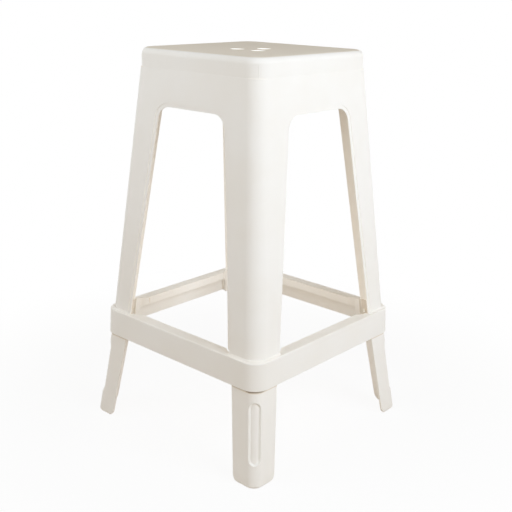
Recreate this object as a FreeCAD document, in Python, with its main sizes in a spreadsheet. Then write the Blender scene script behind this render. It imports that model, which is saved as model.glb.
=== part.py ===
"""Stacking stool of moulded plastic, with a footrest ring and separate lower legs.

Frame: millimetres, +Z up, origin on the floor at the middle of the four feet.
The front of the stool is its -Y side.
"""
import FreeCAD, Part
import PartDesign
import Sketcher
import math
import os
import re

SIZES = {
    # Seat
    "overall_height": 650.0,
    "seat_half": 136.0,
    "band_height": 31.0,
    "band_corner_radius": 29.0,
    "seat_edge_radius": 11.0,
    "seat_thickness": 5.5,
    "seat_inner_radius": 8.0,
    "dish_depth": 2.3,
    "dish_radius": 112.0,
    "hole_diameter": 22.0,
    "hole_circle_radius": 26.5,
    "hole_count": 3.0,
    "hole_rim_radius": 1.4,
    "rib_depth": 12.0,
    "rib_thickness": 2.0,
    "rib_half_spacing": 62.0,
    # Upper legs, one moulding with the seat
    "shell_wall": 3.0,
    "band_step": 0.1,
    "body_half_foot": 179.6,
    "body_corner_radius": 25.0,
    "arch_drop": 88.3,
    "arch_corner_radius": 24.0,
    "leg_width_arch": 70.0,
    "leg_width_foot": 54.4,
    "rim_width": 6.0,
    "rim_depth": 0.8,
    # Footrest ring
    "ring_bottom": 156.0,
    "ring_height": 45.0,
    "ring_ledge_bottom": 3.8,
    "ring_ledge_top": 6.33,
    "ring_corner_radius": 28.0,
    "ring_edge_radius": 2.5,
    "ring_wall": 2.5,
    "ring_inner_wall": 2.2,
    "shelf_depth": 20.6,
    "shelf_end_depth": 13.2,
    "shelf_curve_inset": 18.9,
    "shelf_end_length": 8.4,
    "shelf_curve_radius": 12.0,
    "rail_cutout_inset": 6.0,
    "rail_cutout_reach": 10.0,
    "rail_cutout_radius": 14.0,
    "rail_lip_height": 13.8,
    "rail_count": 4.0,
    "collar_height": 2.4,
    "collar_width": 2.4,
    # Lower legs
    "lower_step_in": 1.7,
    "lower_flare": 19.4,
    "lower_corner_radius": 17.0,
    "lower_width_top": 50.2,
    "lower_width_foot": 46.1,
    "lower_wall": 3.0,
    "lower_inner_radius": 27.0,
    "shoulder_step": 1.0,
    "foot_radius": 15.0,
    "foot_edge_radius": 4.0,
    "groove_height": 2.4,
    "groove_depth": 2.0,
    "groove_drop": 1.4,
    "slot_bottom": 36.0,
    "slot_length": 101.5,
    "slot_width": 19.4,
    "slot_floor_width": 12.0,
    "slot_depth": 3.4,
    "slot_end_slope": 3.8,
    # Screws
    "screw_diameter": 3.5,
    "screw_length": 9.6,
    "screw_head_diameter": 7.0,
    "screw_head_height": 2.4,
    "screw_head_radius": 1.2,
    "screw_recess_width": 1.0,
    "screw_recess_length": 4.0,
    "screw_recess_depth": 1.4,
    "screw_from_corner": 46.5,
    "screw_rise": 25.5,
    # Fits
    "fit_gap": 0.3,
    "corner_relief": 0.75,
    "cut_margin": 10.0,
}

# Heights and half widths that follow from the driving sizes
DERIVED = {
    "ring_top": "ring_bottom + ring_height",
    "mould_line": "overall_height - band_height",
    "seat_ceiling": "overall_height - seat_thickness",
    "body_half_top": "seat_half + band_step",
    "dish_sphere_radius": "(dish_radius ^ 2 + dish_depth ^ 2) / (2 * dish_depth)",
    "arch_top": "overall_height - arch_drop",
    "body_slope": "(body_half_foot - body_half_top) / (mould_line - ring_bottom)",
    "body_half_ring_top": "body_half_foot - body_slope * ring_height",
    "body_half_arch": "body_half_top + body_slope * (mould_line - arch_top)",
    "free_edge_foot": "body_half_foot - leg_width_foot",
    "free_edge_arch": "body_half_arch - leg_width_arch",
    "free_edge_slope": "(free_edge_foot - free_edge_arch) / (arch_top - ring_bottom)",
    "free_edge_ring_top": "free_edge_foot - free_edge_slope * ring_height",
    "free_edge_cut": "free_edge_foot + free_edge_slope * cut_margin",
    "cut_floor": "ring_bottom - cut_margin",
    "ring_half_bottom": "body_half_foot + ring_ledge_bottom",
    "ring_half_top": "body_half_ring_top + ring_ledge_top",
    "ring_slope": "(ring_half_bottom - ring_half_top) / ring_height",
    "shelf_underside": "ring_top - ring_wall",
    "ring_core_top": "ring_half_top + ring_slope * ring_wall - ring_wall",
    "ring_core_bottom": "ring_half_bottom - ring_wall",
    "rail_inner": "ring_half_top - shelf_depth",
    "rail_inner_end": "ring_half_top - shelf_end_depth",
    "rail_end": "free_edge_ring_top - fit_gap",
    "rail_end_low": "free_edge_foot + 2 * free_edge_slope * cut_margin - fit_gap",
    "rail_end_high": "free_edge_ring_top - 2 * free_edge_slope * cut_margin - fit_gap",
    "rail_cutout_half": "rail_end - rail_cutout_inset",
    "shelf_curve_start": "rail_end - shelf_curve_inset",
    "shelf_curve_end": "rail_end - shelf_end_length",
    "shelf_curve_angle": "atan((shelf_depth - shelf_end_depth) / (shelf_curve_end - shelf_curve_start))",
    "shelf_curve_shift": "ring_inner_wall * tan(shelf_curve_angle / 2)",
    "lower_half_top": "body_half_foot - lower_step_in",
    "lower_half_foot": "lower_half_top + lower_flare",
    "lower_slope": "(lower_half_foot - lower_half_top) / ring_bottom",
    "lower_edge_top": "lower_half_top - lower_width_top",
    "lower_edge_foot": "lower_half_foot - lower_width_foot",
    "tongue_edge_top": "lower_edge_top - body_slope * ring_height",
    "lower_apex_top": "lower_half_top * sqrt(2) - lower_corner_radius * (sqrt(2) - 1)",
    "groove_top": "ring_bottom - groove_drop",
    "groove_bottom": "groove_top - groove_height",
    "slot_brow": "lower_corner_radius - sqrt(lower_corner_radius ^ 2 - slot_width ^ 2 / 4)",
    "slot_floor_radius": "lower_corner_radius - slot_depth",
    "slot_reach": "lower_corner_radius - sqrt(slot_floor_radius ^ 2 - slot_floor_width ^ 2 / 4)",
    "slot_side": "(slot_width - slot_floor_width) / 2 * slot_reach / (slot_reach - slot_brow)",
    "slot_mouth_half": "slot_floor_width / 2 + slot_side",
    "slot_middle": "slot_bottom + slot_length / 2",
    "slot_apex": "lower_apex_top + lower_slope * sqrt(2) * (ring_bottom - slot_middle)",
    "slot_tilt": "atan(lower_slope * sqrt(2))",
    "screw_height": "ring_bottom + screw_rise",
    "screw_wall_half": "body_half_foot - body_slope * screw_rise",
    "screw_across": "screw_wall_half - screw_from_corner",
    "screw_seat": "screw_wall_half - shell_wall - lower_wall",
    "screw_tilt": "atan(body_slope)",
}

doc = FreeCAD.newDocument("stacking_stool")
sheet = doc.addObject("Spreadsheet::Sheet", "sizes")
for row, (word, size) in enumerate(list(SIZES.items()) + list(DERIVED.items()), start=1):
    sheet.set(f"A{row}", word)
    sheet.set(f"B{row}", f"={size}" if isinstance(size, str) else str(size))
    sheet.setAlias(f"B{row}", word)
doc.recompute()
NAMES = re.compile(r"\b(" + "|".join(list(SIZES) + list(DERIVED)) + r")\b")


def bound(text):
    """The text of a size, with each word pointed at its cell."""
    return NAMES.sub(r"sizes.\1", text)


def size_of(text):
    """The present value of a size's text, in millimetres."""
    found = sheet.evalExpression(NAMES.sub(r"\1", text))
    return float(getattr(found, "Value", found))


def bind(thing, **texts):
    """Tie properties of an object to texts of sizes."""
    for name, text in texts.items():
        thing.setExpression(name.replace("__", "."), bound(text))


def new_body(name):
    """A body with its placement at the frame's origin."""
    return doc.addObject("PartDesign::Body", name)


def quarter_turns(corners):
    """Repeat the corners of one quarter of an outline four times about the origin."""
    whole = []
    for _ in range(4):
        whole += corners
        corners = [(f"-({y})", x, radius) for x, y, radius in corners]
    return whole


def square(half, radius):
    """A square outline with round corners."""
    return quarter_turns([(half, half, radius)])


def outline(body, name, plane, corners, height=None):
    """A closed sketch through corners (x, y, radius or None), given as texts of sizes."""
    sketch = body.newObject("Sketcher::SketchObject", name)
    sketch.AttachmentSupport = [(axis_of(body, plane), "")]
    sketch.MapMode = "FlatFace"
    if height:
        sketch.setExpression("AttachmentOffset.Base.z", bound(height))
    points = [FreeCAD.Vector(size_of(x), size_of(y), 0) for x, y, _ in corners]
    ends = []
    for place, (here, (_, _, radius)) in enumerate(zip(points, corners)):
        if radius is None:
            ends.append((here, here, None))
            continue
        back = (points[place - 1] - here).normalize()
        ahead = (points[(place + 1) % len(points)] - here).normalize()
        half_angle = back.getAngle(ahead) / 2
        reach = size_of(radius) / math.tan(half_angle)
        centre = here + (back + ahead).normalize() * (size_of(radius) / math.sin(half_angle))
        ends.append((here + back * reach, here + ahead * reach, centre))
    lines = []
    for place in range(len(points)):
        start, finish = ends[place][1], ends[(place + 1) % len(points)][0]
        lines.append(sketch.addGeometry(Part.LineSegment(start, finish), False))
    for place, (x, y, radius) in enumerate(corners):
        before, after = lines[place - 1], lines[place]
        entry, leave, centre = ends[place]
        if radius is None:
            sketch.addConstraint(Sketcher.Constraint("Coincident", before, 2, after, 1))
            fix_point(sketch, after, x, y, points[place], f"p{place}")
            continue
        turn = (entry - centre).cross(leave - centre).z
        first, last = (entry, leave) if turn > 0 else (leave, entry)
        angles = [math.atan2(p.y - centre.y, p.x - centre.x) for p in (first, last)]
        circle = Part.Circle(centre, FreeCAD.Vector(0, 0, 1), size_of(radius))
        arc = sketch.addGeometry(Part.ArcOfCircle(circle, *angles), False)
        entry_end, leave_end = (1, 2) if turn > 0 else (2, 1)
        corner = sketch.addGeometry(Part.Point(points[place]), True)
        sketch.addConstraint(Sketcher.Constraint("Tangent", before, 2, arc, entry_end))
        sketch.addConstraint(Sketcher.Constraint("Tangent", arc, leave_end, after, 1))
        sketch.addConstraint(Sketcher.Constraint("PointOnObject", corner, 1, before))
        sketch.addConstraint(Sketcher.Constraint("PointOnObject", corner, 1, after))
        fix_point(sketch, corner, x, y, points[place], f"p{place}")
        index = sketch.addConstraint(Sketcher.Constraint("Radius", arc, size_of(radius)))
        sketch.renameConstraint(index, f"r{place}")
        sketch.setExpression(f"Constraints.r{place}", bound(radius))
    return sketch


def stadium(body, name, half_width, half_length, height):
    """A sketch of two straight sides joined by half circles, long in Y, at a height."""
    sketch = body.newObject("Sketcher::SketchObject", name)
    sketch.AttachmentSupport = [(axis_of(body, "XY_Plane"), "")]
    sketch.MapMode = "FlatFace"
    sketch.setExpression("AttachmentOffset.Base.z", bound(height))
    half = size_of(half_width)
    reach = size_of(half_length) - half
    upward = FreeCAD.Vector(0, 0, 1)
    top = Part.Circle(FreeCAD.Vector(0, reach, 0), upward, half)
    bottom = Part.Circle(FreeCAD.Vector(0, -reach, 0), upward, half)
    sketch.addGeometry(Part.ArcOfCircle(top, 0, math.pi), False)
    sketch.addGeometry(Part.LineSegment(FreeCAD.Vector(-half, reach, 0), FreeCAD.Vector(-half, -reach, 0)), False)
    sketch.addGeometry(Part.ArcOfCircle(bottom, math.pi, 2 * math.pi), False)
    sketch.addGeometry(Part.LineSegment(FreeCAD.Vector(half, -reach, 0), FreeCAD.Vector(half, reach, 0)), False)
    for here, there in ((0, 1), (1, 2), (2, 3), (3, 0)):
        sketch.addConstraint(Sketcher.Constraint("Tangent", here, 2, there, 1))
    sketch.addConstraint(Sketcher.Constraint("PointOnObject", 0, 3, -2))
    sketch.addConstraint(Sketcher.Constraint("PointOnObject", 2, 3, -2))
    named = (("width", Sketcher.Constraint("Radius", 0, half), half_width),
             ("reach_top", Sketcher.Constraint("DistanceY", -1, 1, 0, 3, reach), f"{half_length} - ({half_width})"),
             ("reach_low", Sketcher.Constraint("DistanceY", 2, 3, -1, 1, reach), f"{half_length} - ({half_width})"))
    for word, constraint, text in named:
        sketch.renameConstraint(sketch.addConstraint(constraint), word)
        sketch.setExpression(f"Constraints.{word}", bound(text))
    return sketch


def fix_point(sketch, geometry, x, y, point, name):
    """Hold the first point of a sketch element at texts of sizes."""
    for kind, text, at, axis in (("DistanceX", x, point.x, -2), ("DistanceY", y, point.y, -1)):
        if text == "0":
            sketch.addConstraint(Sketcher.Constraint("PointOnObject", geometry, 1, axis))
            continue
        index = sketch.addConstraint(Sketcher.Constraint(kind, -1, 1, geometry, 1, at))
        label = f"{name}{kind[-1].lower()}"
        sketch.renameConstraint(index, label)
        sketch.setExpression(f"Constraints.{label}", bound(text))


def axis_of(body, role):
    """The origin plane or axis of a body by its role."""
    return next(f for f in body.Origin.OriginFeatures if f.Role == role)


def frustum(name, foot, top, radius, low, high):
    """A body that is a square column tapering from half width foot to top, its corners rounded."""
    body = new_body(name)
    wedge = body.newObject("PartDesign::AdditiveWedge", f"{name}_sides")
    wedge.AttachmentSupport = [(axis_of(body, "XZ_Plane"), "")]
    wedge.MapMode = "FlatFace"
    bind(wedge, Xmin=f"-({foot})", Xmax=foot, Zmin=f"-({foot})", Zmax=foot, Ymin=low, Ymax=high,
         X2min=f"-({top})", X2max=top, Z2min=f"-({top})", Z2max=top)
    doc.recompute()
    corners = [f"Edge{i}" for i, edge in enumerate(wedge.Shape.Edges, 1)
               if abs(edge.Vertexes[0].Z - edge.Vertexes[1].Z) > 1]
    fillet(body, f"{name}_corners", wedge, corners, radius)
    doc.recompute()
    return body


def loft(body, name, lower, upper):
    """A straight loft between two sketches."""
    feature = body.newObject("PartDesign::AdditiveLoft", name)
    feature.Profile = lower
    feature.Sections = [upper]
    feature.Ruled = True
    return feature


def pad(body, name, sketch, length, symmetric=False):
    """A pad of a sketch, its length a text of sizes."""
    feature = body.newObject("PartDesign::Pad", name)
    feature.Profile = sketch
    if symmetric:
        feature.SideType = "Symmetric"
    bind(feature, Length=length)
    return feature


def pocket(body, name, sketch, length, symmetric=False):
    """A pocket of a sketch, its length a text of sizes."""
    feature = body.newObject("PartDesign::Pocket", name)
    feature.Profile = sketch
    if symmetric:
        feature.SideType = "Symmetric"
    bind(feature, Length=length)
    return feature


def repeated(body, name, feature, count):
    """Repeat a feature about the vertical axis."""
    pattern = body.newObject("PartDesign::PolarPattern", name)
    pattern.Originals = [feature]
    pattern.Axis = (axis_of(body, "Z_Axis"), [""])
    pattern.Angle = 360
    bind(pattern, Occurrences=count)
    body.Tip = pattern
    return pattern


def edges_where(feature, test):
    """Names of the edges of a feature whose every vertex passes a test."""
    edges = feature.Shape.Edges
    return [f"Edge{i}" for i, edge in enumerate(edges, 1) if all(test(v.Point) for v in edge.Vertexes)]


def fillet(body, name, feature, edges, radius):
    """Round named edges of a feature, with the radius a text of sizes."""
    round_edges = body.newObject("PartDesign::Fillet", name)
    round_edges.Base = (feature, edges)
    bind(round_edges, Radius=radius)
    return round_edges


def cut(name, base, *tools):
    """One solid with others taken out of it."""
    tool = tools[0]
    if len(tools) > 1:
        tool = doc.addObject("Part::MultiFuse", f"{name}_tools")
        tool.Shapes = list(tools)
    feature = doc.addObject("Part::Cut", name)
    feature.Base = base
    feature.Tool = tool
    return feature


def at_height(value):
    """A test for points at a height."""
    return lambda point: abs(point.z - value) < 0.01


# Seat and upper legs: a tapering box under a vertical band, with a shallow dish and round holes
shell = frustum("seat_shell_outside", "body_half_foot", "body_half_top", "body_corner_radius",
                "ring_bottom", "mould_line")
band = outline(shell, "band_outline", "XY_Plane", square("seat_half", "band_corner_radius"), "mould_line")
pad(shell, "seat_band", band, "band_height")
doc.recompute()
top_edges = edges_where(shell.Tip, at_height(size_of("overall_height")))
fillet(shell, "seat_edge", shell.Tip, top_edges, "seat_edge_radius")
dish = shell.newObject("PartDesign::SubtractiveSphere", "seat_dish")
dish.AttachmentSupport = [(axis_of(shell, "XY_Plane"), "")]
dish.MapMode = "FlatFace"
bind(dish, Radius="dish_sphere_radius")
dish.setExpression("AttachmentOffset.Base.z", bound("overall_height - dish_depth + dish_sphere_radius"))
hole = shell.newObject("Sketcher::SketchObject", "seat_hole_outline")
hole.AttachmentSupport = [(axis_of(shell, "XY_Plane"), "")]
hole.MapMode = "FlatFace"
hole.setExpression("AttachmentOffset.Base.z", bound("overall_height + cut_margin"))
centre = FreeCAD.Vector(0, size_of("hole_circle_radius"), 0)
hole.addGeometry(Part.Circle(centre, FreeCAD.Vector(0, 0, 1), size_of("hole_diameter") / 2), False)
hole.addConstraint(Sketcher.Constraint("PointOnObject", 0, 3, -2))
hole.addConstraint(Sketcher.Constraint("DistanceY", -1, 1, 0, 3, centre.y))
hole.renameConstraint(1, "hole_place")
hole.setExpression("Constraints.hole_place", bound("hole_circle_radius"))
hole.addConstraint(Sketcher.Constraint("Diameter", 0, size_of("hole_diameter")))
hole.renameConstraint(2, "hole_size")
hole.setExpression("Constraints.hole_size", bound("hole_diameter"))
seat_hole = pocket(shell, "seat_hole", hole, "2 * cut_margin")
seat_holes = repeated(shell, "seat_holes", seat_hole, "hole_count")
doc.recompute()
rims_of_holes = [f"Edge{i}" for i, edge in enumerate(seat_holes.Shape.Edges, 1)
                 if len(edge.Vertexes) == 1 and edge.Vertexes[0].Z > size_of("mould_line")
                 and edge.Length < 2 * math.pi * size_of("hole_diameter")]
fillet(shell, "hole_rims", seat_holes, rims_of_holes, "hole_rim_radius")

# The hollow of seat and legs, with grooves at its top that leave ribs under the seat
hollow = frustum("seat_shell_inside", "body_half_foot + body_slope * cut_margin - shell_wall",
                 "body_half_top - shell_wall", "body_corner_radius - shell_wall", "cut_floor", "mould_line")
inside = outline(hollow, "seat_inside_outline", "XY_Plane",
                 square("body_half_top - shell_wall", "band_corner_radius - shell_wall"), "mould_line")
pad(hollow, "seat_inside", inside, "seat_ceiling - mould_line")
doc.recompute()
ceiling_edges = edges_where(hollow.Tip, at_height(size_of("seat_ceiling")))
fillet(hollow, "seat_inside_edge", hollow.Tip, ceiling_edges, "seat_inner_radius")
for word, across, side in (("along_high", False, ""), ("along_low", False, "-"),
                           ("across_high", True, ""), ("across_low", True, "-")):
    near = f"{side}(rib_half_spacing - rib_thickness / 2)"
    far = f"{side}(rib_half_spacing + rib_thickness / 2)"
    corners = [(near, "-(seat_half)", None), (far, "-(seat_half)", None),
               (far, "seat_half", None), (near, "seat_half", None)]
    if across:
        corners = [(y, x, None) for x, y, _ in corners]
    rib_outline = outline(hollow, f"rib_{word}_outline", "XY_Plane", corners, "seat_ceiling + cut_margin")
    pocket(hollow, f"rib_{word}", rib_outline, "rib_depth + cut_margin")

# Arched openings between the legs, with a stepped-back rim along their edges
arches = []
rims = []
for plane, word in (("XZ_Plane", "front"), ("YZ_Plane", "side")):
    for kind, border, kept in (("arch", "0", arches), ("rim", "rim_width", rims)):
        prism = new_body(f"{kind}_{word}")
        edge = f"free_edge_cut + {border}"
        crown = f"free_edge_arch + {border}"
        round_top = f"arch_corner_radius + {border}"
        corners = [(f"-({edge})", "cut_floor", None), (edge, "cut_floor", None),
                   (crown, f"arch_top + {border}", round_top), (f"-({crown})", f"arch_top + {border}", round_top)]
        prism_outline = outline(prism, f"{kind}_{word}_outline", plane, corners)
        pad(prism, f"{kind}_{word}_length", prism_outline, "4 * body_half_foot", symmetric=True)
        kept.append(prism)
rim_level = frustum("rim_level", "body_half_foot + body_slope * cut_margin - rim_depth",
                    "body_half_top - rim_depth", "body_corner_radius - rim_depth", "cut_floor", "mould_line")
rim_steps = [cut(f"rim_{word}_step", prism, rim_level) for word, prism in zip(("front", "side"), rims)]

# Clearance holes for the screws, square to the sloping leg walls
screw_places = []
for quarter in range(4):
    for word, side in (("a", 1), ("b", -1)):
        screw_places.append((f"{quarter + 1}{word}", quarter * 90, side))


def place_on_wall(thing, angle, side):
    """Stand a thing's own Z along the screw axis on one leg wall."""
    tilt = FreeCAD.Rotation(FreeCAD.Vector(0, 1, 0), 90 - size_of("screw_tilt"))
    spot = FreeCAD.Vector(size_of("screw_seat"), side * size_of("screw_across"), size_of("screw_height"))
    turn = FreeCAD.Rotation(FreeCAD.Vector(0, 0, 1), angle)
    thing.Placement = FreeCAD.Placement(turn.multVec(spot), turn * tilt)


passages = []
for word, angle, side in screw_places:
    passage = doc.addObject("Part::Cylinder", f"screw_passage_{word}")
    bind(passage, Radius="screw_diameter / 2 + fit_gap", Height="screw_length + fit_gap")
    place_on_wall(passage, angle, side)
    passages.append(passage)
screw_passages = doc.addObject("Part::Compound", "screw_passages")
screw_passages.Links = passages
seat_and_legs = cut("seat_and_legs", shell, hollow, *arches, *rim_steps, screw_passages)

# Footrest ring: four rails open below, joined by solid corners that fit round the legs,
# each with a low collar that slopes from the leg down to the ledge
ring = frustum("ring_solid", "ring_half_bottom", "ring_half_top", "ring_corner_radius", "ring_bottom", "ring_top")
ring_edges = edges_where(ring.Tip, at_height(size_of("ring_top")))
fillet(ring, "ring_edge", ring.Tip, ring_edges, "ring_edge_radius")
inner = quarter_turns([
    ("shelf_curve_start", "-(rail_inner)", "shelf_curve_radius"),
    ("shelf_curve_end", "-(rail_inner_end)", "shelf_curve_radius"),
    ("rail_inner_end", "-(rail_inner_end)", None),
    ("rail_inner_end", "-(shelf_curve_end)", "shelf_curve_radius"),
    ("rail_inner", "-(shelf_curve_start)", "shelf_curve_radius"),
])
inner_outline = outline(ring, "ring_inner_outline", "XY_Plane", inner, "cut_floor")
ring_inside = pocket(ring, "ring_inside", inner_outline, "ring_height + 2 * cut_margin")
ring_inside.Reversed = True

rail = new_body("rail_prism")
rail_corners = []
for side in ("", "-"):
    rail_corners.append([
        (f"{side}(rail_end - ring_inner_wall)", "-(ring_half_bottom + cut_margin)", None),
        (f"{side}(rail_end - ring_inner_wall)", "-(rail_inner_end + ring_inner_wall)", None),
        (f"{side}(shelf_curve_end - shelf_curve_shift)", "-(rail_inner_end + ring_inner_wall)",
         "shelf_curve_radius"),
        (f"{side}(shelf_curve_start - shelf_curve_shift)", "-(rail_inner + ring_inner_wall)",
         "shelf_curve_radius"),
    ])
rail_outline = outline(rail, "rail_outline", "XY_Plane", rail_corners[0] + rail_corners[1][::-1], "cut_floor")
rail_pad = pad(rail, "rail_length", rail_outline, "shelf_underside - cut_floor")
repeated(rail, "rail_four", rail_pad, "rail_count")
core = frustum("rail_core", "ring_core_bottom + ring_slope * cut_margin", "ring_core_top",
               "ring_corner_radius - ring_wall", "cut_floor", "shelf_underside")
rail_hollow = doc.addObject("Part::Common", "rail_hollow")
rail_hollow.Base = rail
rail_hollow.Tool = core

lips = []
for plane, word in (("XZ_Plane", "front"), ("YZ_Plane", "side")):
    lip = new_body(f"rail_cutout_{word}")
    window = [("-(rail_cutout_half)", "cut_floor", None), ("rail_cutout_half", "cut_floor", None),
              ("rail_cutout_half", "ring_top - rail_lip_height", "rail_cutout_radius"),
              ("-(rail_cutout_half)", "ring_top - rail_lip_height", "rail_cutout_radius")]
    window_outline = outline(lip, f"rail_cutout_{word}_outline", plane, window)
    pad(lip, f"rail_cutout_{word}_length", window_outline, "2 * (rail_inner + rail_cutout_reach)", symmetric=True)
    lips.append(lip)

collar = frustum("leg_collar", "body_half_ring_top + collar_width",
                 "body_half_ring_top - body_slope * collar_height + fit_gap",
                 "body_corner_radius + collar_width / 2", "ring_top", "ring_top + collar_height")
seats = frustum("leg_seats", "body_half_foot + body_slope * cut_margin",
                "body_half_ring_top - body_slope * cut_margin", "body_corner_radius - corner_relief",
                "cut_floor", "ring_top + cut_margin")
for body in (seats, collar):
    for plane, word in (("XZ_Plane", "front"), ("YZ_Plane", "side")):
        between = [("-(rail_end_low)", "cut_floor - cut_margin", None),
                   ("rail_end_low", "cut_floor - cut_margin", None),
                   ("rail_end_high", "ring_top + 2 * cut_margin", None),
                   ("-(rail_end_high)", "ring_top + 2 * cut_margin", None)]
        between_outline = outline(body, f"{body.Name}_gap_{word}_outline", plane, between)
        pocket(body, f"{body.Name}_gap_{word}", between_outline, "4 * body_half_foot", symmetric=True)
ring_with_collars = doc.addObject("Part::Fuse", "ring_with_collars")
ring_with_collars.Base = ring
ring_with_collars.Tool = collar
footrest_ring = cut("footrest_ring", ring_with_collars, rail_hollow, *lips, seats, screw_passages)

# Lower legs: angle sections with a tongue that slides up inside the upper leg, a groove that
# leaves a dark line under the ring, and a foot rounded below
leg_outside = frustum("leg_outside", "lower_half_foot", "lower_half_top", "lower_corner_radius", "0", "ring_bottom")
fillet(leg_outside, "foot_edge", leg_outside.Tip, edges_where(leg_outside.Tip, at_height(0)), "foot_edge_radius")
tongue_outside = frustum("tongue_outside", "body_half_foot - shell_wall", "body_half_ring_top - shell_wall",
                         "body_corner_radius - shell_wall + corner_relief", "ring_bottom", "ring_top")
leg_solid = doc.addObject("Part::Fuse", "leg_solid")
leg_solid.Base = leg_outside
leg_solid.Tool = tongue_outside
leg_inside = frustum("leg_inside", "lower_half_foot - lower_wall",
                     "body_half_foot - shell_wall - lower_wall - shoulder_step",
                     "lower_inner_radius + shoulder_step", "0", "ring_bottom")
tongue_inside = frustum("tongue_inside", "body_half_foot - shell_wall - lower_wall",
                        "body_half_ring_top - shell_wall - lower_wall", "lower_inner_radius",
                        "ring_bottom", "ring_top")
groove_around = frustum("groove_around", "lower_half_foot", "lower_half_foot", "lower_corner_radius",
                        "groove_bottom", "groove_top")
groove_core = frustum("groove_core", "lower_half_foot - groove_depth", "lower_half_top - groove_depth",
                      "lower_corner_radius", "0", "ring_bottom")
groove = cut("shadow_groove", groove_around, groove_core)
leg_wall = cut("leg_wall", leg_solid, leg_inside, tongue_inside, groove)
leg_trims = []
for plane, word, side in (("XZ_Plane", "front", ""), ("YZ_Plane", "side", "-")):
    trim = new_body(f"leg_trim_{word}")
    corners = [(f"{side}(lower_edge_foot)", "0", "foot_radius"),
               (f"{side}(lower_half_foot + cut_margin)", "0", None),
               (f"{side}(lower_half_foot + cut_margin)", "ring_top + cut_margin", None),
               (f"{side}(tongue_edge_top)", "ring_top + cut_margin", None),
               (f"{side}(tongue_edge_top)", "ring_top", None),
               (f"{side}(lower_edge_top)", "ring_bottom", None)]
    trim_outline = outline(trim, f"leg_trim_{word}_outline", plane, corners)
    pad(trim, f"leg_trim_{word}_length", trim_outline, "4 * lower_half_foot", symmetric=True)
    leg_trims.append(trim)
leg = doc.addObject("Part::MultiCommon", "lower_leg_wall")
leg.Shapes = [leg_wall, *leg_trims]

# Long recess down the outer corner of each lower leg, with sloping sides and a floor that
# follows the round of the corner
slot = new_body("corner_slot")
slot_floor = stadium(slot, "slot_floor", "slot_floor_width / 2", "slot_length / 2 - slot_end_slope",
                     "-(slot_reach)")
slot_mouth = stadium(slot, "slot_mouth", "slot_mouth_half", "slot_length / 2", "0")
slot_above = stadium(slot, "slot_above", "slot_mouth_half", "slot_length / 2", "cut_margin")
loft(slot, "slot_sides", slot_floor, slot_mouth)
loft(slot, "slot_mouth_space", slot_mouth, slot_above)
diagonal = math.radians(-45)
spot = size_of("slot_apex")
upright = FreeCAD.Rotation(FreeCAD.Vector(0, 1, 0), 90 - size_of("slot_tilt"))
turn = FreeCAD.Rotation(FreeCAD.Vector(0, 0, 1), -45) * upright * FreeCAD.Rotation(FreeCAD.Vector(0, 0, 1), 90)
slot.Placement = FreeCAD.Placement(
    FreeCAD.Vector(spot * math.cos(diagonal), spot * math.sin(diagonal), size_of("slot_middle")), turn)

slot_level = frustum("slot_level", "lower_half_foot - slot_depth", "lower_half_top - slot_depth",
                     "slot_floor_radius", "0", "ring_bottom")
slot_space = cut("slot_space", slot, slot_level)

LEG_PLACES = {"lower_leg_front_right": 0, "lower_leg_rear_right": 90,
              "lower_leg_rear_left": 180, "lower_leg_front_left": 270}
first_leg = cut("lower_leg_front_right", leg, slot_space, screw_passages)
lower_legs = [first_leg]
for word, angle in LEG_PLACES.items():
    if angle == 0:
        continue
    turned = doc.addObject("Part::Compound", word)
    turned.Links = [first_leg]
    turned.Placement = FreeCAD.Placement(FreeCAD.Vector(), FreeCAD.Rotation(FreeCAD.Vector(0, 0, 1), angle))
    lower_legs.append(turned)

# Screws: round head with a cross recess, plain shank
shank = doc.addObject("Part::Cylinder", "screw_shank")
bind(shank, Radius="screw_diameter / 2", Height="screw_length")
head = doc.addObject("Part::Cylinder", "screw_head")
bind(head, Radius="screw_head_diameter / 2", Height="screw_head_height")
bind(head, Placement__Base__z="-(screw_head_height)")
doc.recompute()
dome = doc.addObject("Part::Fillet", "screw_dome")
dome.Base = head
dome.Edges = [(i, size_of("screw_head_radius"), size_of("screw_head_radius"))
              for i, edge in enumerate(head.Shape.Edges, 1)
              if len(edge.Vertexes) == 1 and abs(edge.Vertexes[0].Z + size_of("screw_head_height")) < 0.01]
recess = []
for word, long, wide in (("a", "screw_recess_length", "screw_recess_width"),
                         ("b", "screw_recess_width", "screw_recess_length")):
    bar = doc.addObject("Part::Box", f"screw_recess_{word}")
    bind(bar, Length=long, Width=wide, Height="screw_recess_depth + fit_gap",
         Placement__Base__x=f"-({long}) / 2", Placement__Base__y=f"-({wide}) / 2",
         Placement__Base__z="-(screw_head_height) - fit_gap")
    recess.append(bar)
joined = doc.addObject("Part::Fuse", "screw_joined")
joined.Base = dome
joined.Tool = shank
screw = cut("screw", joined, *recess)
screws = []
for word, angle, side in screw_places:
    placed = doc.addObject("Part::Compound", f"screw_{word}")
    placed.Links = [screw]
    place_on_wall(placed, angle, side)
    screws.append(placed)
ring_screws = doc.addObject("Part::Compound", "ring_screws")
ring_screws.Links = screws

doc.recompute()
for thing in doc.Objects:
    if "Invalid" in thing.State or "Error" in thing.State:
        raise RuntimeError(f"{thing.Name} did not build: {thing.State}")
    if hasattr(thing, "Shape") and thing.Shape.isNull():
        raise RuntimeError(f"{thing.Name} has no shape")

os.makedirs("parts", exist_ok=True)
for node in [seat_and_legs, footrest_ring, *lower_legs, ring_screws]:
    if not node.Shape.isValid():
        raise RuntimeError(f"{node.Name} is not a valid shape")
    node.Label = node.Name
    node.Shape.exportStep(f"parts/{node.Name}.step")
    box = node.Shape.BoundBox
    print(node.Name, len(node.Shape.Solids), f"{node.Shape.Volume / 1000:.1f} cm3",
          f"x {box.XMin:.1f}..{box.XMax:.1f} y {box.YMin:.1f}..{box.YMax:.1f} z {box.ZMin:.1f}..{box.ZMax:.1f}")
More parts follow.
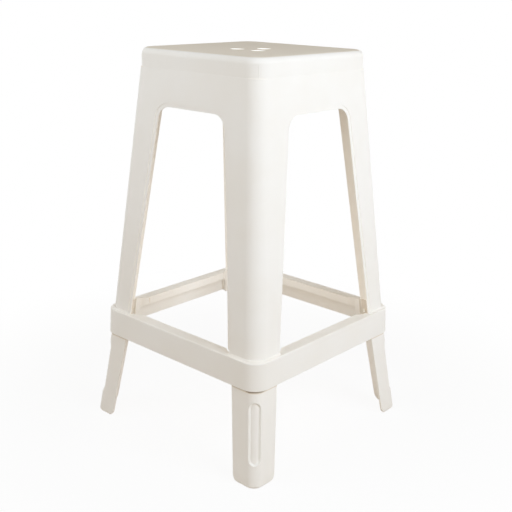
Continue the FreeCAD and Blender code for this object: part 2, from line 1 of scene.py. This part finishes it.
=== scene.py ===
# %% [markdown]
# # A stacking stool in moulded plastic
#
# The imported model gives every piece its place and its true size, in metres, with +Z up and the
# feet on the floor at zero. This notebook keeps those shapes and works on what the eye sees: the
# soft edges of a moulding, its fine matte skin, the marks that the mould leaves, the screws, and
# the light of a white studio.

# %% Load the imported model
import math

import bmesh
import bpy
from mathutils import Matrix, Vector
from mathutils.bvhtree import BVHTree


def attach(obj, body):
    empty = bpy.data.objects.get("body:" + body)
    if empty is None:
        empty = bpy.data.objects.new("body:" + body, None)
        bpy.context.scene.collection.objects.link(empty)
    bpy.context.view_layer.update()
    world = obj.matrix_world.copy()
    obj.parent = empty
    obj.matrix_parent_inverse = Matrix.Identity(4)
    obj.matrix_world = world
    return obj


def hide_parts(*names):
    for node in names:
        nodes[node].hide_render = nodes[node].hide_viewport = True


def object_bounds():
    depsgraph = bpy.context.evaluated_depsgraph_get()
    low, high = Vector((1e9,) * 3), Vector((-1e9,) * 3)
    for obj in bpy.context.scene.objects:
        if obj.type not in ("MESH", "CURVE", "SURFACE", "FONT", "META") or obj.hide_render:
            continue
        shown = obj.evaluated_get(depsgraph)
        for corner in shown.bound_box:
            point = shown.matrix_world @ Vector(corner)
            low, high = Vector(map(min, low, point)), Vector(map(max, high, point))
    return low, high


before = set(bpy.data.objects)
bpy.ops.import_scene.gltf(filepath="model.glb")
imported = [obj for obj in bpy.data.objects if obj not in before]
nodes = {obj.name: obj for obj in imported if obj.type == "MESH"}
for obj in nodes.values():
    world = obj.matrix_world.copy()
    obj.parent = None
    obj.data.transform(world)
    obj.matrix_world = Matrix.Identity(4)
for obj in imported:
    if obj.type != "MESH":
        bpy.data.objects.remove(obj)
cad_low, cad_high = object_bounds()
scene = bpy.context.scene
print("nodes:", sorted(nodes))

# %% [markdown]
# ## The camera
#
# The picture is taken from a little above the seat, looking at one corner of the stool. The four
# sides of the seat, the ring and the feet run to vanishing points, and together they fix where
# the eye stands, how far it looks down and how long the lens is. Setting the camera first means
# that every later choice is judged in the picture that it is meant for. The lens is given in
# pixels of a square picture, because that is how it was measured.

# %% Camera
STAND_OFF = 1.41889
EYE_HEIGHT = 0.74766
AROUND = math.radians(42.405)
HEADING = AROUND - math.radians(0.426)
DOWN = math.radians(17.698)
ROLL = math.radians(1.022)
FOCAL_PIXELS = 849.347
PICTURE_PIXELS = 512
SENSOR_MM = 36.0

camera = bpy.data.objects.new("camera", bpy.data.cameras.new("camera"))
scene.collection.objects.link(camera)
scene.camera = camera
camera.data.sensor_width = SENSOR_MM
camera.data.lens = FOCAL_PIXELS / PICTURE_PIXELS * SENSOR_MM
eye = Vector((STAND_OFF * math.sin(AROUND), -STAND_OFF * math.cos(AROUND), EYE_HEIGHT))
turn = Matrix.Rotation(HEADING, 4, "Z") @ Matrix.Rotation(math.pi / 2 - DOWN, 4, "X")
camera.matrix_world = Matrix.Translation(eye) @ turn @ Matrix.Rotation(ROLL, 4, "Z")
print("camera at", [round(v, 3) for v in eye])

# %% [markdown]
# ## Soft edges on the moulded pieces
#
# A moulded edge is never sharp: the steel of the mould is rounded, and plastic shrinks away from
# corners. The solids have crisp edges, so each moulding is copied, its loose triangles are merged
# into whole faces, and a fine bevel goes on every edge that turns sharply. Faces with many
# corners are cut into triangles first, because a bevel can fold them over the holes in the seat.
# An edge that is pressed against another moulding stays crisp, since a bevel there would open a
# gap between the two.
#
# Weighted normals keep the large faces flat, so that only the bevels carry the highlight. A
# shader bevel would be quicker, but it is lost when the model is exported, and a subdivision
# surface would pull the long straight walls out of shape.

# %% A skin over a solid
MERGE_DISTANCE = 0.00001
FLAT_ANGLE = math.radians(0.4)
SHARP_ANGLE = math.radians(28)
PRESSED_WITHIN = 0.0005
ALONG_EDGE = (0.0, 0.5, 1.0)
QUAD = 4
EDGE_SEGMENTS = 2
LARGE_FACE_WEIGHT = 90
MOULDINGS = [node for node in nodes if node != "ring_screws"]


def surfaces(names):
    """The faces of some solids, ready to be asked how far off they are."""
    meshes = [nodes[name].data for name in names]
    return [BVHTree.FromPolygons([vertex.co for vertex in mesh.vertices],
                                 [face.vertices for face in mesh.polygons]) for mesh in meshes]


def pressed(edge, others):
    """Whether an edge lies against another moulding along its whole length."""
    first, last = edge.verts
    points = [first.co.lerp(last.co, share) for share in ALONG_EDGE]
    return any(all(other.find_nearest(point, PRESSED_WITHIN)[0] is not None for point in points)
               for other in others)


def soft_modifiers(piece, edge_radius):
    """Round the marked edges and keep the large faces flat."""
    bevel = piece.modifiers.new("soft edges", "BEVEL")
    bevel.width = edge_radius
    bevel.segments = EDGE_SEGMENTS
    bevel.limit_method = "WEIGHT"
    bevel.use_clamp_overlap = True
    flat = piece.modifiers.new("flat faces", "WEIGHTED_NORMAL")
    flat.mode = "FACE_AREA"
    flat.weight = LARGE_FACE_WEIGHT
    flat.keep_sharp = True


def skin(node, name, edge_radius):
    """A softened copy of a solid that stands for it."""
    others = surfaces([other for other in MOULDINGS if other != node])
    mesh = nodes[node].data.copy()
    mesh.name = name
    shape = bmesh.new()
    shape.from_mesh(mesh)
    bmesh.ops.remove_doubles(shape, verts=shape.verts, dist=MERGE_DISTANCE)
    bmesh.ops.dissolve_limit(shape, angle_limit=FLAT_ANGLE, verts=shape.verts, edges=shape.edges,
                             use_dissolve_boundaries=False)
    bmesh.ops.triangulate(shape, faces=[face for face in shape.faces if len(face.verts) > QUAD])
    soft = shape.edges.layers.float.new("bevel_weight_edge")
    crisp = 0
    for edge in shape.edges:
        if edge.is_manifold and edge.calc_face_angle() > SHARP_ANGLE:
            tight = pressed(edge, others)
            edge[soft] = 0.0 if tight else 1.0
            edge.smooth = not tight
            crisp += tight
    for face in shape.faces:
        face.smooth = True
    shape.to_mesh(mesh)
    shape.free()
    piece = bpy.data.objects.new(name, mesh)
    scene.collection.objects.link(piece)
    soft_modifiers(piece, edge_radius)
    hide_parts(node)
    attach(piece, "root")
    print(name, len(mesh.polygons), "faces,", crisp, "edges left crisp")
    return piece


# %% [markdown]
# ## The three kinds of moulding
#
# Seat and upper legs come out of one mould as a single shell. The footrest ring is a second
# moulding, pushed up from below, and the four lower legs are a third, used four times. All three
# come from moulds that were finished alike, so one small radius serves every edge. It is about
# the thickness of a few sheets of paper, just enough to catch a line of light.

# %% Seat, ring and legs
EDGE_RADIUS = 0.0004
LEGS = ["front_right", "rear_right", "rear_left", "front_left"]

shell = skin("seat_and_legs", "seat_moulding", EDGE_RADIUS)
ring = skin("footrest_ring", "ring_moulding", EDGE_RADIUS)
lower_legs = [skin(f"lower_leg_{place}", f"leg_moulding_{place}", EDGE_RADIUS) for place in LEGS]

# %% [markdown]
# ## Marks of the mould
#
# Where two halves of a steel mould meet, a hair of plastic creeps into the joint and leaves a
# fine raised line. One runs down the band of the seat at each corner, and a short one crosses the
# inner lip of each rail, as where a block is let into the mould. They could be painted in the
# material, but real lines catch the light from every side, so each is a thin bar with bevelled
# edges that stands a hair proud of the wall. One bar is made, and three turned copies of it in the
# same mesh give the other corners.

# %% Fine raised lines
SIDES = 4
LINE_WIDTH = 0.0011
LINE_PROUD = 0.0004
BAR_ROUNDING = 0.5


def raised_lines(name, centre, half_size, lean=0.0):
    """A thin bar near one corner or side, repeated round the stool by quarter turns."""
    shape = bmesh.new()
    for side in range(SIDES):
        quarter = Matrix.Rotation(side * math.pi / 2, 4, "Z")
        place = quarter @ Matrix.Translation(centre) @ Matrix.Rotation(lean, 4, "Z")
        size = Matrix.Diagonal((*(2 * half for half in half_size), 1))
        bmesh.ops.create_cube(shape, size=1.0, matrix=place @ size)
    bmesh.ops.bevel(shape, geom=shape.edges[:], offset=min(half_size) * BAR_ROUNDING, segments=2,
                    profile=0.5, affect="EDGES", material=-1, offset_type="OFFSET")
    mesh = bpy.data.meshes.new(name)
    shape.to_mesh(mesh)
    shape.free()
    piece = bpy.data.objects.new(name, mesh)
    scene.collection.objects.link(piece)
    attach(piece, "root")
    print(name, len(mesh.polygons), "faces")
    return piece


# %% [markdown]
# ## The line down each corner of the band
#
# The band is the upright strip under the seat's rounded edge. Its line stands near the middle of
# the rounded corner, a degree off the diagonal, and stops just short of the band's two ends. The
# corner is part of a circle, so a centre, a reach and a turn place the bar better than x and y
# would.

# %% Lines on the band
BAND_HEIGHT = 0.031
SEAT_EDGE = 0.011
BAND_MARGIN = 0.0005
SEAT_HALF = 0.136
CORNER_RADIUS = 0.029
LINE_TURN = math.radians(-44)

corner_centre = SEAT_HALF - CORNER_RADIUS
reach = CORNER_RADIUS + LINE_PROUD - LINE_WIDTH / 2
band_line_place = Vector((corner_centre + reach * math.cos(LINE_TURN),
                          -corner_centre + reach * math.sin(LINE_TURN),
                          cad_high[2] - (BAND_HEIGHT + SEAT_EDGE) / 2))
band_line_half = (BAND_HEIGHT - SEAT_EDGE) / 2 - BAND_MARGIN
band_lines = raised_lines("band_parting_lines", band_line_place,
                          (LINE_WIDTH / 2, LINE_WIDTH / 2, band_line_half),
                          LINE_TURN)

# %% [markdown]
# ## The short line on each rail
#
# One rail shows a short upright line across its inner lip, near its end, as the edge of a block in
# the mould would leave. The rails are alike, so each gets one. It is the same bar, shorter and
# square to the wall.

# %% Lines on the rails
RAIL_INNER = 0.1611
TICK_ALONG = 0.094
TICK_MIDDLE = 0.1945
TICK_HEIGHT = 0.009

tick_place = Vector((-RAIL_INNER - LINE_WIDTH / 2 + LINE_PROUD, -TICK_ALONG, TICK_MIDDLE))
rail_ticks = raised_lines("rail_insert_lines", tick_place,
                          (LINE_WIDTH / 2, LINE_WIDTH / 2, TICK_HEIGHT / 2))

# %% [markdown]
# ## Shader sums written as sums
#
# Blender's materials are graphs of nodes, and a sum of three terms is already three boxes and
# five wires. A small class that wraps one socket and answers to +, - and * lets the same graph be
# written as a line of arithmetic. Any other kind of node comes from one method, which sets the
# node up first and then fills its sockets with numbers, colours or links.

# %% Sockets as numbers


class Value:
    """One socket of a node tree, usable in ordinary arithmetic."""

    def __init__(self, tree, socket=None):
        self.tree = tree
        self.socket = socket

    def node(self, kind, settings=None, sockets=None, output=0):
        """The output of a new node of some kind."""
        made = self.tree.nodes.new(kind)
        for name, setting in (settings or {}).items():
            setattr(made, name, setting)
        for key, value in (sockets or {}).items():
            self.feed(made.inputs[key], value)
        return Value(self.tree, made.outputs[output])

    def feed(self, target, value):
        """Join a value to a socket, or write a number or colour into it."""
        if isinstance(value, Value):
            self.tree.links.new(value.socket, target)
        else:
            target.default_value = value

    def maths(self, operation, *values):
        return self.node("ShaderNodeMath", {"operation": operation}, dict(enumerate(values)))

    def __add__(self, other):
        return self.maths("ADD", self, other)

    __radd__ = __add__

    def __sub__(self, other):
        return self.maths("SUBTRACT", self, other)

    def __rsub__(self, other):
        return self.maths("SUBTRACT", other, self)

    def __mul__(self, other):
        return self.maths("MULTIPLY", self, other)

    __rmul__ = __mul__

    def fade(self, start, end):
        """0 at one value and 1 at another, smooth between."""
        return self.node("ShaderNodeMapRange", {"interpolation_type": "SMOOTHSTEP"},
                         {"Value": self, "From Min": start, "From Max": end})


# %% [markdown]
# ## Places, directions and colours
#
# Most of what varies over the stool depends on where a point is and which way its surface faces.
# A few helpers read those two: the height above the floor, how nearly a face is level, and how
# deep a point lies behind a sloping outer skin. On a square stool the depth is simply measured
# from the larger of x and y. Colours need helpers as well, because a Math node turns a colour
# grey: one multiplies a colour in Python, and one blends two colours in the graph.

# %% Helpers for materials
BLACK = (0.0, 0.0, 0.0, 1.0)
SAME = (1, 1, 1)
SIDEWAYS = (1, 1, 0)
RING_FOOT = 0.156


def scaled(colour, factors):
    """A colour with its red, green and blue each multiplied, as a socket takes it."""
    return tuple(part * factor for part, factor in zip(colour, factors)) + (1.0,)


def blend(share, first, second):
    """A colour between two others."""
    return share.node("ShaderNodeMix", {"data_type": "RGBA"}, {0: share, 6: first, 7: second}, 2)


def vector_sum(operation, first, second=None, output=0):
    """The result of one Vector Math node."""
    sockets = {0: first} if second is None else {0: first, 1: second}
    return first.node("ShaderNodeVectorMath", {"operation": operation}, sockets, output)


def axis(vector, letter):
    """The X, Y or Z of a vector."""
    return vector.node("ShaderNodeSeparateXYZ", None, {0: vector}, letter)


def facing(value):
    """The direction in which the surface faces."""
    return value.node("ShaderNodeNewGeometry", output="Normal")


def depth_behind(place, skin_at_foot, slope):
    """How far a point lies behind an outer skin that leans in as it rises."""
    x, y, z = (axis(place, letter) for letter in "XYZ")
    skin_at = skin_at_foot - (z - RING_FOOT) * slope
    return skin_at - x.maths("MAXIMUM", x.maths("ABSOLUTE", x), y.maths("ABSOLUTE", y))


print("heights are measured from", RING_FOOT, "m, the underside of the ring")

# %% [markdown]
# ## Light that soaks through thin walls
#
# A thin wall of off-white plastic isn't quite opaque. Where it is lit from outside, it glows
# faintly and warmly on its inner side, which is why the insides of the legs and rails look cream
# and not grey. True scattering inside thin walls renders slowly and with coloured speckle, so here
# the inner surfaces give off a faint light of their own. A point counts as inner when it lies
# behind the outer skin and doesn't face outward, or when it faces the middle of the stool. Level
# faces and the underside of the seat get little light through the wall, so they are left out. The
# price of this stand-in is that the glow stays the same in any light, also in the dark.

# %% Where light soaks through
WALL_LIGHT = (0.105, 0.090, 0.070, 1.0)
BODY_FOOT = 0.1796
BODY_SLOPE = 0.09395
WALL_DEPTH = (0.0012, 0.0022)
FACES_OUT = (0.8, 0.68)
FACES_IN = (0.1, -0.3)
UPRIGHT = (0.8, 0.5)
UNDER_SEAT = (0.635, 0.60)


def soaked(place):
    """1 on the inner surfaces of walls, which light reaches through the wall."""
    depth = depth_behind(place, BODY_FOOT, BODY_SLOPE)
    toward = facing(place)
    outward = vector_sum("NORMALIZE", vector_sum("MULTIPLY", place, SIDEWAYS))
    turned = vector_sum("DOT_PRODUCT", toward, outward, "Value")
    inner = depth.fade(*WALL_DEPTH) * turned.fade(*FACES_OUT)
    inner = inner.maths("MAXIMUM", inner, turned.fade(*FACES_IN))
    return inner * axis(toward, "Z").fade(*UPRIGHT) * axis(place, "Z").fade(*UNDER_SEAT)


print("light through a wall:", WALL_LIGHT[:3])

# %% [markdown]
# ## Off-white plastic
#
# The stool is injection-moulded in one warm off-white. Its mould was spark-eroded, which gives
# the surface a fine matte grain about half a millimetre across. Over that lie a slow unevenness,
# where the wall shrank as it cooled, and faint clouds of tone. The feet and the top of the ring
# are where the stool meets floors and shoes, so they are a touch greyer and smoother. All of it
# is noise on Object coordinates, which stay in place when the model is turned or exported; an
# image texture would need a file, and painting it by hand would not repeat on four legs.
#
# The reflection of matte plastic is weak, so its specular level is set lower than usual. What is
# special to one moulding, such as painted shade in a groove, is added by a function of its own.

# %% Moulded plastic
PLASTIC = (0.935, 0.92, 0.89)
PLASTIC_IOR = 1.49
PLASTIC_SHINE = 0.3
NOISES = {"grain": (1800.0, 2.0), "ripple": (45.0, 1.0), "cloud": (11.0, 3.0)}
CLOUDED = (0.985, 0.978, 0.965)
CLOUD_RANGE = (0.35, 0.7)
GRAINED = (0.97, 0.965, 0.955)
GRAIN_RANGE = (0.55, 0.8)
GRAIN_SHARE = 0.5
GRAIN_ROUGHNESS = 0.10
CLOUD_ROUGHNESS = 0.08
SCUFFED = (0.93, 0.915, 0.89)
SCUFF_RANGE = (0.3, 0.65)
SCUFF_SHARE = 0.6
SCUFF_POLISH = 0.08
RIPPLE_BUMP = {"Strength": 0.25, "Distance": 0.0004}
GRAIN_BUMP = {"Strength": 0.10, "Distance": 0.0002}


def new_material(name):
    """A material, its shader, a first value to build on, and places on the object."""
    material = bpy.data.materials.new(name)
    material.use_nodes = True
    start = Value(material.node_tree)
    place = start.node("ShaderNodeTexCoord", output="Object")
    return material, material.node_tree.nodes["Principled BSDF"], start, place


def moulded_plastic(name, colour, roughness, worn=None, more=None, light=WALL_LIGHT):
    """Matte plastic; worn gives the heights in metres between which wear fades out."""
    material, shader, start, place = new_material(name)
    noise = {word: place.node("ShaderNodeTexNoise", None,
                              {"Vector": place, "Scale": scale, "Detail": detail})
             for word, (scale, detail) in NOISES.items()}
    tone = blend(noise["cloud"].fade(*CLOUD_RANGE), scaled(colour, SAME), scaled(colour, CLOUDED))
    tone = blend(noise["grain"].fade(*GRAIN_RANGE) * GRAIN_SHARE, tone, scaled(colour, GRAINED))
    rough = (roughness + (noise["grain"] - 0.5) * GRAIN_ROUGHNESS
             + (noise["cloud"] - 0.5) * CLOUD_ROUGHNESS)
    if worn:
        scuff = axis(place, "Z").fade(worn[1], worn[0]) * noise["cloud"].fade(*SCUFF_RANGE)
        tone = blend(scuff * SCUFF_SHARE, tone, scaled(colour, SCUFFED))
        rough = rough - scuff * SCUFF_POLISH
    glow = blend(soaked(place), BLACK, light)
    if more:
        tone, glow = more(place, tone, glow)
    ripple = place.node("ShaderNodeBump", None, {**RIPPLE_BUMP, "Height": noise["ripple"]})
    grain = place.node("ShaderNodeBump", None,
                       {**GRAIN_BUMP, "Height": noise["grain"], "Normal": ripple})
    for socket, value in (("Base Color", tone), ("Roughness", rough), ("Normal", grain),
                          ("Emission Color", glow), ("Emission Strength", 1.0),
                          ("IOR", PLASTIC_IOR), ("Specular IOR Level", PLASTIC_SHINE)):
        start.feed(shader.inputs[socket], value)
    material.cycles.emission_sampling = "NONE"
    print(name, len(material.node_tree.nodes), "nodes")
    return material


# %% [markdown]
# ## The top of the seat
#
# The level top of the seat is painted browner and darker than the sides. Part of that is painted
# shade for the weaker light from above; the rest of its cause can't be told apart, so a single
# tone stands for both. The rims of the three drain holes look bright, and a narrow glowing ring
# round each hole is a painted highlight for that. The holes lie at equal turns on one circle,
# so a loop measures the distance to each and keeps the nearest.

# %% Painted shade on the seat top, painted highlights on the hole rims
HOLES = 3
HOLE_CIRCLE = 0.0265
HOLE_RIM = (0.0117, 0.0110)
# Painted highlight round the hole rims, and painted shade on the level top of the seat.
HOLE_GLOW = (0.36, 0.355, 0.335, 1.0)
SEAT_TOP_SHADE = (0.81, 0.742, 0.638)
SEAT_LEVEL = (0.8, 0.98)
SEAT_HEIGHT = (0.60, 0.62)


def seat_top(place, tone, glow):
    """Painted shade on the seat top, and a painted highlight round its three holes."""
    high = axis(place, "Z").fade(*SEAT_HEIGHT)
    top = axis(facing(place), "Z").fade(*SEAT_LEVEL) * high
    flat = vector_sum("MULTIPLY", place, SIDEWAYS)
    nearest = None
    for hole in range(HOLES):
        turn = math.pi / 2 + hole * math.tau / HOLES
        centre = (HOLE_CIRCLE * math.cos(turn), HOLE_CIRCLE * math.sin(turn), 0)
        away = vector_sum("DISTANCE", flat, centre, "Value")
        nearest = away if nearest is None else nearest.maths("MINIMUM", nearest, away)
    rim = nearest.fade(*HOLE_RIM) * high
    return blend(top, tone, scaled(PLASTIC, SEAT_TOP_SHADE)), blend(rim, glow, HOLE_GLOW)


shell_plastic = moulded_plastic("shell plastic", PLASTIC, 0.50, None, seat_top)

# %% [markdown]
# ## The shelf and rim of the ring
#
# The ring's level top is a thin shelf, open below. Its upward faces get a faint glow, which is
# painted light that brightens them as light from above does. Its outer top edge catches a fine
# bright line. The bevel there is far narrower than a pixel of the picture and loses most of it,
# so a strip about a millimetre wide glows a little in its place, as a painted highlight.

# %% Ring shelf and rim
# Painted light: a faint glow on the ring's upward faces and a brighter one along its top edge.
RING_LIGHT = (0.066, 0.062, 0.054, 1.0)
SHELF_LIGHT = (0.064, 0.052, 0.034, 1.0)
RIM_LIGHT = (0.135, 0.126, 0.110, 1.0)
SHELF_LEVEL = (0.45, 0.9)
RING_SKIN = 0.1834
RING_SLOPE = 0.04
RIM_HEIGHT = (0.2022, 0.2029)
RIM_DEPTH = (0.0017, 0.0008)
RING_WEAR = (0.2035, 0.196)


def ring_top(place, tone, glow):
    """Painted light on the ring's upward faces, and a painted highlight along its outer edge."""
    glow = blend(axis(facing(place), "Z").fade(*SHELF_LEVEL), glow, SHELF_LIGHT)
    depth = depth_behind(place, RING_SKIN, RING_SLOPE)
    rim = axis(place, "Z").fade(*RIM_HEIGHT) * depth.fade(*RIM_DEPTH)
    return tone, blend(rim, glow, RIM_LIGHT)


ring_plastic = moulded_plastic("ring plastic", PLASTIC, 0.48, RING_WEAR, ring_top, RING_LIGHT)

# %% [markdown]
# ## Where the lower legs meet the ring
#
# Each lower leg slides up inside the upper leg, and a groove round it just under the ring lies in
# shade, which is painted into its colour as a dark line. The tongue that goes up inside stands in
# the shade of the legs and ring, so it gets a darker, browner tone, also painted shade. Both tones
# depend on height alone, so they run level round all four legs.

# %% Groove and tongue
LEG_LIGHT = (0.052, 0.046, 0.040, 1.0)
GROOVE_BELOW = (0.1519, 0.1523)
GROOVE_ABOVE = (0.155, 0.1546)
# Painted shade: the groove and the tongue are darkened where shade falls.
GROOVE_SHADE = (0.62, 0.56, 0.50)
TONGUE_FROM = (0.1502, 0.1510)
TONGUE_SHADE = (0.87, 0.815, 0.735)
FOOT_WEAR = (0.0, 0.022)


def groove_and_tongue(place, tone, glow):
    """Painted shade in the groove under the ring, and on the tongue above it."""
    height = axis(place, "Z")
    tone = blend(height.fade(*TONGUE_FROM), tone, scaled(PLASTIC, TONGUE_SHADE))
    groove_shade = height.fade(*GROOVE_BELOW) * height.fade(*GROOVE_ABOVE)
    return blend(groove_shade, tone, scaled(PLASTIC, GROOVE_SHADE)), glow


leg_plastic = moulded_plastic("leg plastic", PLASTIC, 0.52, FOOT_WEAR, groove_and_tongue, LEG_LIGHT)

# %% [markdown]
# ## Dressing the mouldings
#
# Each moulding takes its own plastic. The raised lines are of the same stuff, but each kind is
# given a darker tone of its own, as painted shade for the thin shadow along each ridge: nearly
# the wall's on the band, browner on the rails.

# %% Plastic on every moulding
# Painted shade: darker tones for the shadow along each raised line.
BAND_LINE_SHADE = (0.92, 0.91, 0.88)
INSERT_LINE_SHADE = (0.72, 0.64, 0.54)
LINE_ROUGHNESS = 0.5


def dress(piece, material):
    """Give a piece one material."""
    piece.data.materials.clear()
    piece.data.materials.append(material)


for piece, material, slot_name in ((shell, shell_plastic, "shell_plastic"),
                                   (ring, ring_plastic, "ring_plastic"),
                                   *((leg, leg_plastic, "leg_plastic") for leg in lower_legs)):
    dress(piece, material)
dress(band_lines, moulded_plastic("band line plastic", BAND_LINE_SHADE, LINE_ROUGHNESS))
dress(rail_ticks, moulded_plastic("insert line plastic", INSERT_LINE_SHADE, LINE_ROUGHNESS))

# %% [markdown]
# ## Screws
#
# Two small screws on the inside of each leg hold shell, ring and lower leg together. Their heads
# are plated steel that has gone dull. The solids already have the domed head and the cross
# recess, so they stay, and only their finish changes: a metal whose roughness is uneven and whose
# colour leans warm, as zinc does after passivation.

# %% Plated screws
ZINC = (0.96, 0.92, 0.83)
ZINC_ROUGHNESS = 0.42
DULLED = (0.86, 0.83, 0.78)
SPOTS_PER_METRE = 900.0
SPOT_DETAIL = 3.0
SPOT_RANGE = (0.4, 0.7)
SPOT_ROUGHNESS = 0.25


def plated_steel(name, colour, roughness):
    """Dull plated metal with uneven gloss."""
    material, shader, start, place = new_material(name)
    spots = place.node("ShaderNodeTexNoise", None,
                       {"Vector": place, "Scale": SPOTS_PER_METRE, "Detail": SPOT_DETAIL})
    tone = blend(spots.fade(*SPOT_RANGE), scaled(colour, SAME), scaled(colour, DULLED))
    for socket, value in (("Base Color", tone), ("Metallic", 1.0),
                          ("Roughness", roughness + (spots - 0.5) * SPOT_ROUGHNESS)):
        start.feed(shader.inputs[socket], value)
    return material


zinc = plated_steel("plated screws", ZINC, ZINC_ROUGHNESS)
screws = nodes["ring_screws"]
for slot in screws.material_slots:
    slot.link = "OBJECT"
    slot.material = zinc
print("screws:", [slot.material.name for slot in screws.material_slots])

# %% [markdown]
# ## Floor
#
# The floor is one wide sheet, so that its far edge lies outside the picture. A white studio floor
# could be had by lighting it until it burns out, but that would burn out the stool as well.
# Instead the sheet looks almost white to the camera, and to mirrors and glass, and everything
# else meets a plain pale floor, which sends soft warm light up under the ring. Near the stool a
# small share of a plain matte sheet stays in the camera's view, and so the shadow does too. It
# fades out within a metre, where the floor is as white as the world behind it.

# %% Floor
FLOOR_HALF = 300.0
FLOOR_SHOWS = 0.08
SHADOW_REACH = (0.3, 0.8)
FLOOR_PAINT = (0.50, 0.435, 0.37, 1.0)
SHADOW_PAINT = (0.95, 0.95, 0.95, 1.0)
WHITE = (1.0, 1.0, 1.0, 1.0)

shape = bmesh.new()
bmesh.ops.create_grid(shape, x_segments=1, y_segments=1, size=FLOOR_HALF)
floor_mesh = bpy.data.meshes.new("floor")
shape.to_mesh(floor_mesh)
shape.free()
floor = bpy.data.objects.new("floor", floor_mesh)
scene.collection.objects.link(floor)
print("floor reaches", FLOOR_HALF, "m")

# %% [markdown]
# ## What the floor shows to whom
#
# Cycles can ask where a ray comes from. Rays from the camera, from mirrors and from glass meet
# the white sheet; the rays that carry soft light from one surface to the next meet the paint.

# %% Floor material
floor_material = bpy.data.materials.new("studio floor")
floor_material.use_nodes = True
tree = floor_material.node_tree
tree.nodes.clear()
start = Value(tree)


def looks(value):
    """1 where a ray comes from the camera, a mirror or glass."""
    seen, shiny, clear = (value.node("ShaderNodeLightPath", output=f"Is {kind} Ray")
                          for kind in ("Camera", "Glossy", "Transmission"))
    return value.maths("MAXIMUM", value.maths("MAXIMUM", seen, shiny), clear)


plain = start.node("ShaderNodeBsdfDiffuse", None, {"Color": FLOOR_PAINT})
shaded = start.node("ShaderNodeBsdfDiffuse", None, {"Color": SHADOW_PAINT})
white = start.node("ShaderNodeEmission", None, {"Color": WHITE, "Strength": 1.0})
away = vector_sum("LENGTH", start.node("ShaderNodeTexCoord", output="Object"), None, "Value")
share = FLOOR_SHOWS * (1.0 - away.fade(*SHADOW_REACH))
pale = start.node("ShaderNodeMixShader", None, {0: share, 1: white, 2: shaded})
surface = start.node("ShaderNodeMixShader", None, {0: looks(start), 1: plain, 2: pale})
output = tree.nodes.new("ShaderNodeOutputMaterial")
start.feed(output.inputs["Surface"], surface)
floor_mesh.materials.append(floor_material)
print("floor of", len(tree.nodes), "nodes")

# %% [markdown]
# ## The studio
#
# The stool stands in a white sweep of paper: light comes evenly from all round, strongest near
# the horizon and weaker from the ceiling, which is why the seat looks darker than the sides. A
# plain grey world would light the seat most, so the world's strength falls off with height and
# its colour turns from near white at the horizon to warm overhead. To the camera it is simply
# white.

# %% World
HORIZON_STRENGTH = 1.6
STEEP_SHARE = 0.8
EVEN_SHARE = 0.2
HORIZON_COLOUR = (1.0, 0.955, 0.89, 1.0)
CEILING_COLOUR = (1.0, 0.72, 0.40, 1.0)

world = bpy.data.worlds.new("studio")
scene.world = world
world.use_nodes = True
tree = world.node_tree
tree.nodes.clear()
start = Value(tree)
up = axis(start.node("ShaderNodeTexCoord", output="Generated"), "Z")
low = start.maths("MAXIMUM", 1.0 - up, 0.0)
strength = low * (low * STEEP_SHARE + EVEN_SHARE) * HORIZON_STRENGTH
hue = blend(up, HORIZON_COLOUR, CEILING_COLOUR)
sweep = start.node("ShaderNodeBackground", None, {"Color": hue, "Strength": strength})
backdrop = start.node("ShaderNodeBackground", None, {"Color": WHITE, "Strength": 1.0})
studio = start.node("ShaderNodeMixShader", None, {0: looks(start), 1: sweep, 2: backdrop})
output = tree.nodes.new("ShaderNodeOutputWorld")
start.feed(output.inputs["Surface"], studio)
print("world of", len(tree.nodes), "nodes")

# %% [markdown]
# ## Lamps
#
# One wide softbox to the right of the camera makes the right side brighter than the left and
# gives the round corner its slow change of tone. A weaker one to the left keeps the other side
# open. Both are a little blue, against the warm light of floor and ceiling, so that the plastic
# comes out near its own colour. A very dim warm lamp low inside the stool lifts the undersides of
# the ring and legs. The camera sees none of the three.

# %% Lamps
AIM = (0.0, 0.0, 0.6)
KEY_PLACE = (1.34, -0.02, 1.06)
KEY_SIZE = 0.9
KEY_POWER = 14.0
KEY_COLOUR = (0.785, 0.887, 1.0)
FILL_PLACE = (-0.35, -0.9, 1.12)
FILL_SIZE = 1.0
FILL_POWER = 5.55
FILL_COLOUR = (0.77, 0.885, 1.0)
GLOW_PLACE = (0.0, 0.0, 0.12)
GLOW_RADIUS = 0.05
GLOW_POWER = 0.07
GLOW_COLOUR = (1.0, 0.80, 0.58)


def add_lamp(name, kind, place, power, colour):
    """A lamp that the camera doesn't see."""
    lamp = bpy.data.lights.new(name, kind)
    lamp.energy = power
    lamp.color = colour
    holder = bpy.data.objects.new(name, lamp)
    holder.location = place
    holder.visible_camera = False
    holder.visible_glossy = False
    scene.collection.objects.link(holder)
    return holder


def softbox(name, place, size, power, colour):
    """A square lamp that looks at the seat."""
    holder = add_lamp(name, "AREA", place, power, colour)
    holder.data.shape = "SQUARE"
    holder.data.size = size
    holder.rotation_euler = (Vector(AIM) - Vector(place)).to_track_quat("-Z", "Y").to_euler()
    return holder


key = softbox("key", KEY_PLACE, KEY_SIZE, KEY_POWER, KEY_COLOUR)
fill = softbox("fill", FILL_PLACE, FILL_SIZE, FILL_POWER, FILL_COLOUR)
glow = add_lamp("glow", "POINT", GLOW_PLACE, GLOW_POWER, GLOW_COLOUR)
glow.data.shadow_soft_size = GLOW_RADIUS
for lamp in (key, fill, glow):
    print(lamp.name, round(lamp.data.energy, 2), "W")

# %% [markdown]
# ## Colour as written
#
# The Standard view shows a colour as it is written, with no film curve over it, so an off-white
# stays the off-white that was chosen.

# %% View
scene.view_settings.view_transform = "Standard"
print("view:", scene.view_settings.view_transform)
